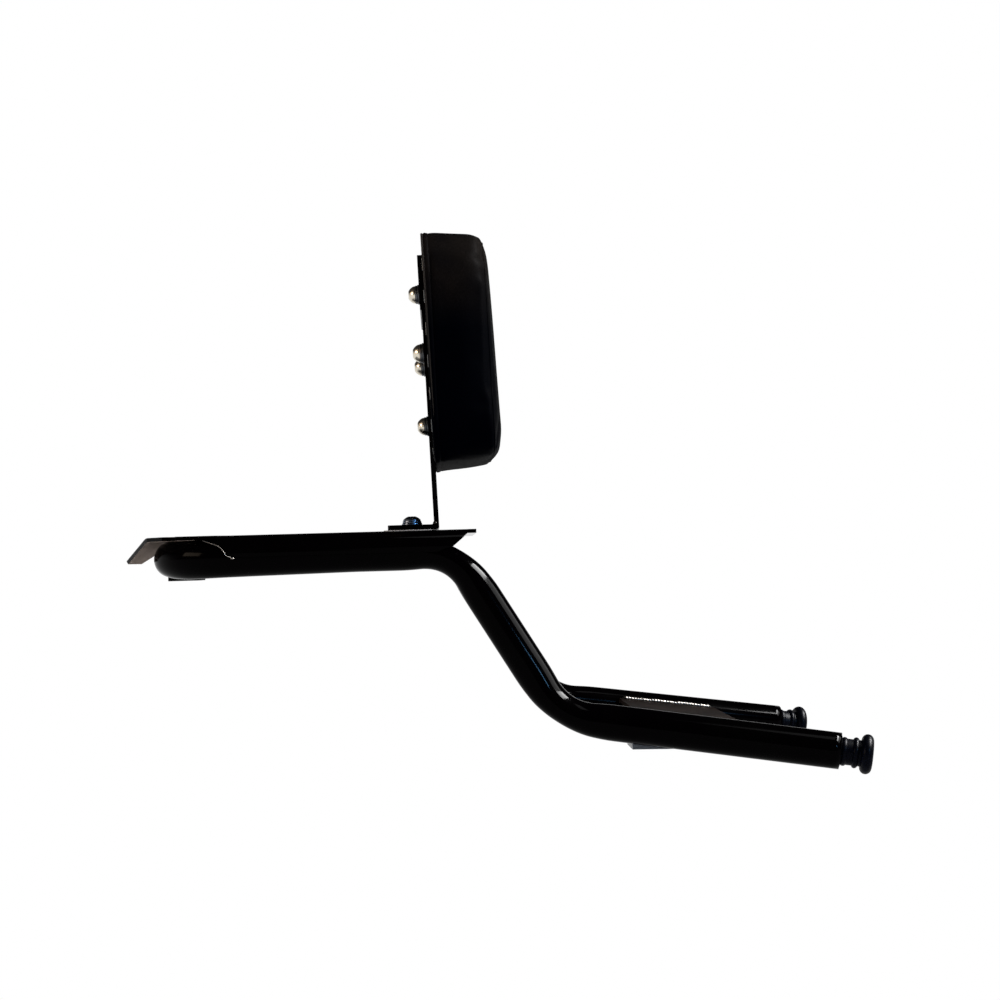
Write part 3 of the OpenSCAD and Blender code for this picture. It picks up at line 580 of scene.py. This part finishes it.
def weld_bead(name, start, end, radius, matter):
    """A hand-laid bead: a row of overlapping ripples of uneven width, drawn out at both ends."""
    length = (end - start).length
    steps = round(length / (BEAD_PITCH / 6.0))
    points = []
    radii = []
    for k in range(steps + 1):
        along = k / steps
        run = along * length
        sway = [Vector((run / (9.0 * MM), start.y * 40.0, 3.0 + 20.0 * axis)) for axis in range(3)]
        drift = Vector([noise.noise(spot) for spot in sway])
        ripple = 1.0 - 0.16 * (run / BEAD_PITCH - math.floor(run / BEAD_PITCH))
        swell = 1.0 + 0.18 * noise.noise(Vector((run / (5.0 * MM), start.y * 60.0, 7.0)))
        tail = min(1.0, 0.25 + run / BEAD_TAIL, 0.25 + (length - run) / BEAD_TAIL)
        points.append(start.lerp(end, along) + drift * radius * 0.18)
        radii.append(radius * ripple * swell * tail)
    bead = add_piece(name, cap_ends(sweep(points, radii, 14)))
    bead.data.materials.append(matter)
    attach(bead, "root")


def weld_material():
    """Wire-brushed weld under thin paint: dark grey with small bright ridges."""
    return patchy_material("painted_weld_bead", {"Metallic": 0.6}, ("161412", "7d746b"),
                           (1.2 * MM, 3.0, 0.7), (1.2 * MM, 3.0, 0.7), 0.08 * MM, (0.45, 0.22), (0.5, 0.72))


def arm_ends(name, inset, height):
    """Both ends of a bead along the left arm, over the length of a piece, beside the arm's axis."""
    low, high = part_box(name)
    corner, front = TUBE_CORNERS[3], TUBE_CORNERS[4]
    ends = []
    for x in (low[0] + BEAD_INSET, high[0] - BEAD_INSET):
        axis = corner + (front - corner) * (x - corner.x) / (front.x - corner.x)
        ends.append(Vector((x, axis.y - inset, height(axis.z))))
    return ends


def add_cross_welds(matter):
    for flip, side in ((-1.0, "right"), (1.0, "left")):
        for face, (level, inset) in CROSS_BEADS.items():
            ends = arm_ends("cross_plate", inset, lambda axis_z: axis_z + level)
            start, end = (Vector((point.x, point.y * flip, point.z)) for point in ends)
            weld_bead("cross_weld_" + side + face, start, end, CROSS_BEAD_RADIUS, matter)


bead_steel = weld_material()
brown_paint = paint_material("thin_brown_grey_paint", "0b0908", "2a2320", 0.5, 0.05 * MM, 1.03, 22.0 * MM)
dress_node("cross_plate", brown_paint, 0.3 * MM)
add_cross_welds(bead_steel)


# Mount brackets
# Two flat steel feet under the arms, each with two bolt holes, cut from plate and welded along
# the tube. They are painted a satin blue grey.
BRACKET_BEAD_RADIUS = 1.6 * MM
BRACKET_BEAD_INSET = 5.6 * MM
BRACKET_BEAD_RISE = 0.3 * MM


def add_bracket_welds(matter):
    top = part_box("mount_bracket_left")[1][2]
    ends = arm_ends("mount_bracket_left", BRACKET_BEAD_INSET, lambda axis_z: top + BRACKET_BEAD_RISE)
    for flip, side in ((-1.0, "right"), (1.0, "left")):
        start, end = (Vector((point.x, point.y * flip, point.z)) for point in ends)
        weld_bead("bracket_weld_" + side, start, end, BRACKET_BEAD_RADIUS, matter)


blue_grey_paint = paint_material("satin_blue_grey_paint", "3d444d", "4a5058", 0.32, 0.02 * MM, 1.3)
for side in ("left", "right"):
    dress_node("mount_bracket_" + side, blue_grey_paint, 0.3 * MM)
add_bracket_welds(bead_steel)


# End plugs
# Moulded rubber plugs pushed into the tube's open front ends. Two grip rings hold each one there,
# and its round head stays outside. The rubber is blue black with a soft sheen.
plug_rubber = rubber_material("dark_blue_black_rubber", "000105", "04050e", 0.26)
for side in ("left", "right"):
    dress_node("end_plug_" + side, plug_rubber)


# Foot gasket
# A sheet of pressed grey fibre, cut by hand and clamped under the foot of the upright, where it
# keeps the foot off the plate's paint.
def fibre_material():
    """Pressed fibre sheet: mottled light grey and quite matt."""
    return patchy_material("grey_fibre_sheet", {"Roughness": 0.8}, ("8c8c90", "b4b4b8"),
                           (3.0 * MM, 5.0, 0.7), (0.3 * MM, 3.0, 0.5), 0.06 * MM)


dress_node("foot_gasket", fibre_material(), 0.2 * MM)


# Backrest upright
# A steel flat bar, wide at its head, with a foot folded back and bolted through the plate.
# A thin strip backs its head, and a short weld bead fills the fold.
FOLD_X = -172.4 * MM
FOLD_BEAD_HALF = 45.6 * MM
FOLD_BEAD_RISE = 4.6 * MM
FOLD_BEAD_RADIUS = 1.9 * MM


def add_fold_weld(matter):
    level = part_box("foot_gasket")[1][2] + FOLD_BEAD_RISE
    start, end = (Vector((FOLD_X, across, level)) for across in (-FOLD_BEAD_HALF, FOLD_BEAD_HALF))
    weld_bead("fold_weld", start, end, FOLD_BEAD_RADIUS, matter)


upright_paint = paint_material("black_satin_paint", "010001", "020202", 0.14, 0.006 * MM)
dress_node("backrest_upright", upright_paint, 0.4 * MM)
dress_node("upright_backing_strip", upright_paint, 0.2 * MM)
add_fold_weld(bead_steel)


# Backing board
# 12 mm birch plywood that stiffens the pad, sawn to shape with its edges left plain. Four tee nuts
# are pressed in from its front for the pad's bolts.
def plywood_material():
    """Plywood: long brown grain on the faces and darker lines between the sheets on the edges."""
    matter, tree, place = new_material("birch_plywood")
    pull = add_node(tree, "ShaderNodeMapping", {"Scale": (400.0, 500.0, 30.0)}, {"Vector": place})
    grain = add_node(tree, "ShaderNodeTexNoise", {"Scale": 1.0, "Detail": 5.0, "Roughness": 0.6},
                     {"Vector": pull.outputs["Vector"]}).outputs["Fac"]
    tint = add_node(tree, "ShaderNodeMix", {
        "data_type": "RGBA", "A": linear("8a6a45"), "B": linear("c09b6b"),
    }, {"Factor": grain})
    bump = add_node(tree, "ShaderNodeBump", {"Strength": 1.0, "Distance": 0.05 * MM}, {"Height": grain})
    skin = add_node(tree, "ShaderNodeBsdfPrincipled", {"Roughness": 0.62}, {
        "Base Color": tint.outputs["Result"], "Normal": bump.outputs["Normal"],
    })
    add_node(tree, "ShaderNodeOutputMaterial", links={"Surface": skin.outputs["BSDF"]})
    return matter


dress_node("pad_board", plywood_material(), 0.4 * MM)


# Pad cushion
# A firm foam block in a black vinyl cover: a crowned front panel sewn to a side band, drawn round
# the board and stapled at the back, with a piping cord in the rear seam.
LEAN = math.radians(1.8)
PAD_BACK = Vector((-173.84, 0.0, 289.03)) * MM
PAD_WIDTH = 205.0 * MM
PAD_HEIGHT = 165.0 * MM
PAD_CORNER = 30.0 * MM
PAD_EDGE_DEPTH = 44.0 * MM
PAD_DEPTH = 50.5 * MM
PAD_TAPER = math.tan(math.radians(5.5))
CROWN_RADIUS = 850.0 * MM
CROWN_DROP = 14.0 * MM
AROUND = 120
BAND_START = 0.2 * MM
BAND_ROWS = 7
BAND_STOP = 2.5 * MM
BACK_ROWS = (24.0 * MM, 8.0 * MM)
PANEL_ROWS = 15
PANEL_STEP = 5.1 * MM
PANEL_FIRST_BACK = 3.2 * MM
PANEL_SINK = 3.4 * MM
RIM_LIFT_TOP = 3.0 * MM
RIM_LIFT_BOTTOM = 4.5 * MM
START_INSET = -0.8 * MM
START_LIFT = 0.5 * MM
SWELL_CAP = 2.5 * MM
HELD_DEPTH = 12.0 * MM
VOXEL = 4.5 * MM
RECESS_INSET = 6.7 * MM
RECESS_MIDDLE = 30.0 * MM
RECESS_DEPTHS = (-1.0 * MM, 14.4 * MM)
VINYL_GRAIN = 0.9 * MM
# Between these heights the vinyl turns lighter towards the top: painted light from the lamp above.
PAINTED_LIGHT_LOW = 300.0 * MM
PAINTED_LIGHT_HIGH = 362.0 * MM


def from_pad(depth, across, up):
    """A point given from the middle of the pad's back: forward, to the left and up along it."""
    return PAD_BACK + Vector((
        depth * math.cos(LEAN) - up * math.sin(LEAN),
        across,
        depth * math.sin(LEAN) + up * math.cos(LEAN),
    ))


def pad_ring(inset, share):
    """A point at a share of the way round the pad's outline, drawn smaller by the inset."""
    corner = max(PAD_CORNER - inset, 3.0 * MM)
    wide = PAD_WIDTH / 2.0 - inset - corner
    tall = PAD_HEIGHT / 2.0 - inset - corner
    arc = corner * math.pi / 2.0
    pieces = [tall, arc, 2.0 * wide, arc, 2.0 * tall, arc, 2.0 * wide, arc, tall]
    run = (share % 1.0) * sum(pieces)
    spot = 0
    while run > pieces[spot] and spot < 8:
        run -= pieces[spot]
        spot += 1
    straight = [
        (wide + corner, run), None, (wide - run, tall + corner), None,
        (-wide - corner, tall - run), None, (run - wide, -tall - corner), None,
        (wide + corner, run - tall),
    ]
    if spot % 2 == 0:
        return straight[spot]
    angle = run / corner + (spot // 2) * math.pi / 2.0
    middle = [(wide, tall), (-wide, tall), (-wide, -tall), (wide, -tall)][spot // 2]
    return (middle[0] + corner * math.cos(angle), middle[1] + corner * math.sin(angle))


def crown_depth(across, up):
    """Depth of the crowned front over a point of the pad."""
    reach = across * across + (up + CROWN_DROP) ** 2
    return PAD_DEPTH - CROWN_RADIUS + math.sqrt(CROWN_RADIUS ** 2 - reach)


def cushion_block():
    """The foam block before it swells: side band, round front edge and crowned front panel.

    Each row round the block has a depth and an inset. A row of the front panel has no depth of its
    own: it lies under the crown, which it reaches by swelling, and is lifted towards the rims.
    """
    profile = [(BAND_START, inset) for inset in (*BACK_ROWS, START_INSET)]
    for k in range(1, BAND_ROWS + 1):
        depth = BAND_START + (PAD_EDGE_DEPTH - BAND_START - BAND_STOP) * k / BAND_ROWS
        profile.append((depth, START_INSET + depth * PAD_TAPER))
    for k in range(1, PANEL_ROWS + 1):
        profile.append((None, START_INSET + PAD_EDGE_DEPTH * PAD_TAPER - PANEL_FIRST_BACK + PANEL_STEP * k))
    shape = bmesh.new()
    bmesh.ops.create_grid(shape, x_segments=AROUND, y_segments=len(profile) - 1, size=1.0)
    for vert in shape.verts:
        share = (vert.co.x + 1.0) / 2.0
        depth, inset = profile[round((vert.co.y + 1.0) / 2.0 * (len(profile) - 1))]
        across, up = pad_ring(inset, share)
        if depth is None:
            rim = abs(up) / (PAD_HEIGHT / 2.0)
            lift = RIM_LIFT_BOTTOM if up < 0.0 else RIM_LIFT_TOP
            depth = crown_depth(across, up) - PANEL_SINK + lift * rim ** 2
        vert.co = from_pad(depth, across, up + START_LIFT)
    bmesh.ops.remove_doubles(shape, verts=shape.verts, dist=1e-6)
    cap_ends(shape)
    bmesh.ops.recalc_face_normals(shape, faces=shape.faces)
    return shape


def bake(piece):
    """Replaces a piece's mesh by what its modifiers make of it."""
    scene_graph = bpy.context.evaluated_depsgraph_get()
    mesh = bpy.data.meshes.new_from_object(piece.evaluated_get(scene_graph))
    piece.modifiers.clear()
    piece.data = mesh
    for face in mesh.polygons:
        face.use_smooth = True


def swell(cushion):
    """Blows the cover up like a filled bag, with the board's zone held, and caps how far it moves."""
    remesh = cushion.modifiers.new("even", "REMESH")
    remesh.mode = "VOXEL"
    remesh.voxel_size = VOXEL
    bake(cushion)
    rest = [vert.co.copy() for vert in cushion.data.vertices]
    held = cushion.vertex_groups.new(name="held")
    for vert in cushion.data.vertices:
        arm = vert.co - PAD_BACK
        if arm.x * math.cos(LEAN) + arm.z * math.sin(LEAN) < HELD_DEPTH:
            held.add([vert.index], 1.0, "REPLACE")
    cloth = cushion.modifiers.new("cover", "CLOTH")
    cloth.settings.use_pressure = True
    cloth.settings.uniform_pressure_force = 4.0
    cloth.settings.effector_weights.gravity = 0.0
    cloth.settings.vertex_group_mass = "held"
    cloth.settings.mass = 0.3
    cloth.settings.bending_stiffness = 5.0
    for step in range(1, 21):
        bpy.context.scene.frame_set(step)
    bake(cushion)
    bpy.context.scene.frame_set(1)
    cushion.vertex_groups.clear()
    for vert, old in zip(cushion.data.vertices, rest):
        move = vert.co - old
        if move.length > SWELL_CAP:
            vert.co = old + move.normalized() * SWELL_CAP


def cut_board_recess(cushion):
    """The hollow at the back that holds the board and the tee nuts."""
    shape = bmesh.new()
    bmesh.ops.create_grid(shape, x_segments=96, y_segments=3, size=1.0)
    for vert in shape.verts:
        row = round((vert.co.y + 1.0) / 2.0 * 3)
        inset = RECESS_INSET if row in (1, 2) else RECESS_MIDDLE
        across, up = pad_ring(inset, (vert.co.x + 1.0) / 2.0)
        vert.co = from_pad(RECESS_DEPTHS[row // 2], across, up)
    bmesh.ops.remove_doubles(shape, verts=shape.verts, dist=1e-6)
    cap_ends(shape)
    bmesh.ops.recalc_face_normals(shape, faces=shape.faces)
    tool = add_piece("board_recess_tool", shape, False)
    cut = cushion.modifiers.new("recess", "BOOLEAN")
    cut.operation = "DIFFERENCE"
    cut.solver = "EXACT"
    cut.object = tool
    bpy.context.view_layer.update()
    bake(cushion)
    bpy.data.objects.remove(tool)


def vinyl_material(name, colour, worn, painted_light_top, rough, depth):
    """Grained vinyl: small leather-like cells and a slight sheen. Its upper part is painted lighter, as
    painted light from the lamp above.

    The grain is as coarse as such vinyl comes, because a finer one wouldn't show in the render.
    """
    matter, tree, place = new_material(name)
    cells = add_node(tree, "ShaderNodeTexVoronoi", {"Scale": 1.0 / VINYL_GRAIN}, {"Vector": place})
    fine, cloud = (
        add_node(tree, "ShaderNodeTexNoise", {"Scale": 1.0 / size, "Detail": detail},
                 {"Vector": place}).outputs["Fac"]
        for size, detail in ((0.25 * MM, 2.0), (30.0 * MM, 4.0))
    )
    spot = add_node(tree, "ShaderNodeSeparateXYZ", links={"Vector": place})
    height = add_node(tree, "ShaderNodeMapRange", {"From Min": PAINTED_LIGHT_LOW, "From Max": PAINTED_LIGHT_HIGH},
                      {"Value": spot.outputs["Z"]})
    # The second pair's first colour is the lighter top, painted light from the lamp above. The cloud gives
    # random wear in both pairs.
    clean, faded = (
        add_node(tree, "ShaderNodeMix", {
            "data_type": "RGBA", "A": linear(code), "B": linear(worn),
        }, {"Factor": cloud}).outputs["Result"]
        for code in (colour, painted_light_top)
    )
    # Towards the top the colour turns lighter: painted light from the lamp above.
    tint = add_node(tree, "ShaderNodeMix", {"data_type": "RGBA"},
                    {"Factor": height.outputs["Result"], "A": clean, "B": faded})
    sheen = add_node(tree, "ShaderNodeMapRange", {"To Min": rough, "To Max": rough + 0.12},
                     {"Value": cloud})
    grain = add_node(tree, "ShaderNodeBump", {"Strength": 1.0, "Distance": depth},
                     {"Height": cells.outputs["Distance"]})
    pores = add_node(tree, "ShaderNodeBump", {"Strength": 1.0, "Distance": depth * 0.4},
                     {"Height": fine, "Normal": grain.outputs["Normal"]})
    skin = add_node(tree, "ShaderNodeBsdfPrincipled", {"IOR": 1.025}, {
        "Base Color": tint.outputs["Result"],
        "Roughness": sheen.outputs["Result"],
        "Normal": pores.outputs["Normal"],
    })
    add_node(tree, "ShaderNodeOutputMaterial", links={"Surface": skin.outputs["BSDF"]})
    return matter


def build_cushion(matter):
    cushion = add_piece("pad_cover", cushion_block())
    swell(cushion)
    cut_board_recess(cushion)
    cushion.data.materials.append(matter)
    soft = cushion.modifiers.new("soft", "SUBSURF")
    soft.levels = 1
    soft.render_levels = 1
    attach(cushion, "root")
    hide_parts("pad_cushion")
    return cushion


# Its last colour, 1d1916, is the painted light on the pad's top.
black_vinyl = vinyl_material("black_grained_vinyl", "000002", "000104", "1d1916", 0.5, 0.05 * MM)
cushion = build_cushion(black_vinyl)


# Pad piping and seams
# A thin vinyl cord sewn in between the side band and the back, and a fine seam round the front
# panel. The cover's edge is folded over the board's rim and stapled there.
WELT_RADIUS = 0.8 * MM
WELT_POINTS = 240
WELT_DEPTH_TOP = -0.7 * MM
WELT_DEPTH_GAIN = 2.2 * MM
BACK_FOLD = [
    (5.0, 2.5), (3.4, -0.2), (1.2, -0.6), (0.1, 0.1), (-0.9, 2.2), (-1.1, 4.0),
    (-0.9, 8.0), (-0.8, 10.2), (-0.05, 10.6), (0.3, 7.2), (2.2, 6.6),
]
FOLD_POINTS = 180
FOLD_WRINKLE = 0.25 * MM
SEAM_RADIUS = 0.55 * MM
SEAM_POINTS = 260
SEAM_BACK = 1.2 * MM
STAPLES = 28
STAPLE_INSET = 7.2 * MM
STAPLE_DEPTH = -1.15 * MM
STAPLE_SIZE = Vector((0.6, 9.0, 1.1)) * MM
PAD_FORWARD = from_pad(1.0, 0.0, 0.0) - PAD_BACK


def build_welt(matter):
    """The cord, which runs nearer to the board's back at the top of the pad than at its bottom."""
    points = []
    radii = []
    for k in range(WELT_POINTS):
        across, up = pad_ring(WELT_RADIUS * 0.5, k / WELT_POINTS)
        depth = WELT_DEPTH_TOP + WELT_DEPTH_GAIN * (0.5 - up / PAD_HEIGHT)
        points.append(from_pad(depth, across, up))
        radii.append(WELT_RADIUS * (1.0 + 0.04 * noise.noise(Vector((k * 0.9, 1.0, 5.0)))))
    shape = sweep(points, radii, 14, closed=True, reference=PAD_FORWARD)
    bmesh.ops.recalc_face_normals(shape, faces=shape.faces)
    welt = add_piece("pad_piping", shape)
    welt.data.materials.append(matter)
    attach(welt, "root")
    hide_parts("pad_welt")


def build_back_fold(matter):
    """The cover's edge, drawn over the rim of the board: thin, and a little uneven."""
    rows = len(BACK_FOLD)
    shape = bmesh.new()
    bmesh.ops.create_grid(shape, x_segments=FOLD_POINTS, y_segments=rows, size=1.0)
    for vert in shape.verts:
        share = (vert.co.x + 1.0) / 2.0
        row = round((vert.co.y + 1.0) / 2.0 * rows) % rows
        depth, inset = (size * MM for size in BACK_FOLD[row])
        if row in (5, 6, 7):
            way = share * 6.283
            depth += FOLD_WRINKLE * noise.noise(Vector((9.0 * math.cos(way), 9.0 * math.sin(way), row)))
        across, up = pad_ring(inset, share)
        vert.co = from_pad(depth, across, up)
    bmesh.ops.remove_doubles(shape, verts=shape.verts, dist=1e-6)
    bmesh.ops.recalc_face_normals(shape, faces=shape.faces)
    fold = add_piece("pad_back_fold", shape)
    fold.data.materials.append(matter)
    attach(fold, "root")


def build_front_seam(piece, matter):
    """The seam between the front panel and the side band: a fine raised ridge on the cover."""
    skin = skin_tree(piece)
    inside = from_pad(PAD_EDGE_DEPTH - SEAM_BACK, 0.0, 0.0)
    points = []
    for k in range(SEAM_POINTS):
        across, up = pad_ring(0.0, k / SEAM_POINTS)
        outside = from_pad(PAD_EDGE_DEPTH - SEAM_BACK, across * 1.2, up * 1.2)
        hit = skin.ray_cast(outside, (inside - outside).normalized())[0]
        if hit:
            points.append(hit)
    shape = sweep(points, [SEAM_RADIUS] * len(points), 8, closed=True, reference=PAD_FORWARD)
    bmesh.ops.recalc_face_normals(shape, faces=shape.faces)
    seam = add_piece("pad_front_seam", shape)
    seam.data.materials.append(matter)
    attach(seam, "root")


def build_staples(matter):
    """Flat wire staples through the folded edge, about 24 mm apart and none quite straight."""
    shape = bmesh.new()
    for k in range(STAPLES):
        share = (k + 0.5) / STAPLES
        across, up = pad_ring(STAPLE_INSET, share)
        ahead = Vector(pad_ring(STAPLE_INSET, share + 0.002)) - Vector((across, up))
        turn = math.atan2(ahead[1], ahead[0]) + 0.12 * math.sin(k * 2.3)
        made = bmesh.ops.create_cube(shape, size=1.0)["verts"]
        bmesh.ops.scale(shape, vec=STAPLE_SIZE, verts=made)
        bmesh.ops.rotate(shape, verts=made, matrix=Matrix.Rotation(turn, 3, "X"))
        bmesh.ops.rotate(shape, verts=made, matrix=Matrix.Rotation(-LEAN, 3, "Y"))
        bmesh.ops.translate(shape, verts=made, vec=from_pad(STAPLE_DEPTH, across, up))
    bmesh.ops.bevel(shape, geom=shape.edges[:], offset=0.15 * MM, offset_type="OFFSET", segments=1,
                    profile=0.5, affect="EDGES", material=-1)
    staples = add_piece("pad_staples", shape, False)
    staples.data.materials.append(matter)
    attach(staples, "root")


zinc_plate = metal_material("dull_zinc_plate", "8d8f90", "6c6f73", 0.32)
# Its last colour, 363230, is the painted light on the piping's top.
build_welt(vinyl_material("piping_vinyl", "1c1b1b", "2a2928", "363230", 0.36, 0.03 * MM))
build_back_fold(black_vinyl)
build_front_seam(cushion, black_vinyl)
build_staples(zinc_plate)


# Fasteners
# M8 bolts with round heads and hexagon sockets, each over a split spring washer and a flat washer.
# The pad's bolts are bright stainless steel. The foot's bolts are darker zinc, with nuts below.
washer_steel = metal_material("grey_washer_steel", "5f6266", "45484c", 0.3)
dark_zinc = metal_material("dark_blue_zinc", "7d889a", "3e444e", 0.2)
dress_node("pad_bolts", metal_material("bright_stainless_steel", "e6dfcf", "c4bdae", 0.2), 0.2 * MM)
for name, matter in (
    ("pad_spring_washers", washer_steel),
    ("pad_flat_washers", washer_steel),
    ("foot_bolts", dark_zinc),
    ("foot_spring_washers", dark_zinc),
    ("foot_flat_washers", dark_zinc),
    ("foot_under_washers", zinc_plate),
    ("foot_nuts", zinc_plate),
):
    dress_node(name, matter, 0.2 * MM)
dress_node("pad_tee_nuts", zinc_plate, 0.15 * MM)
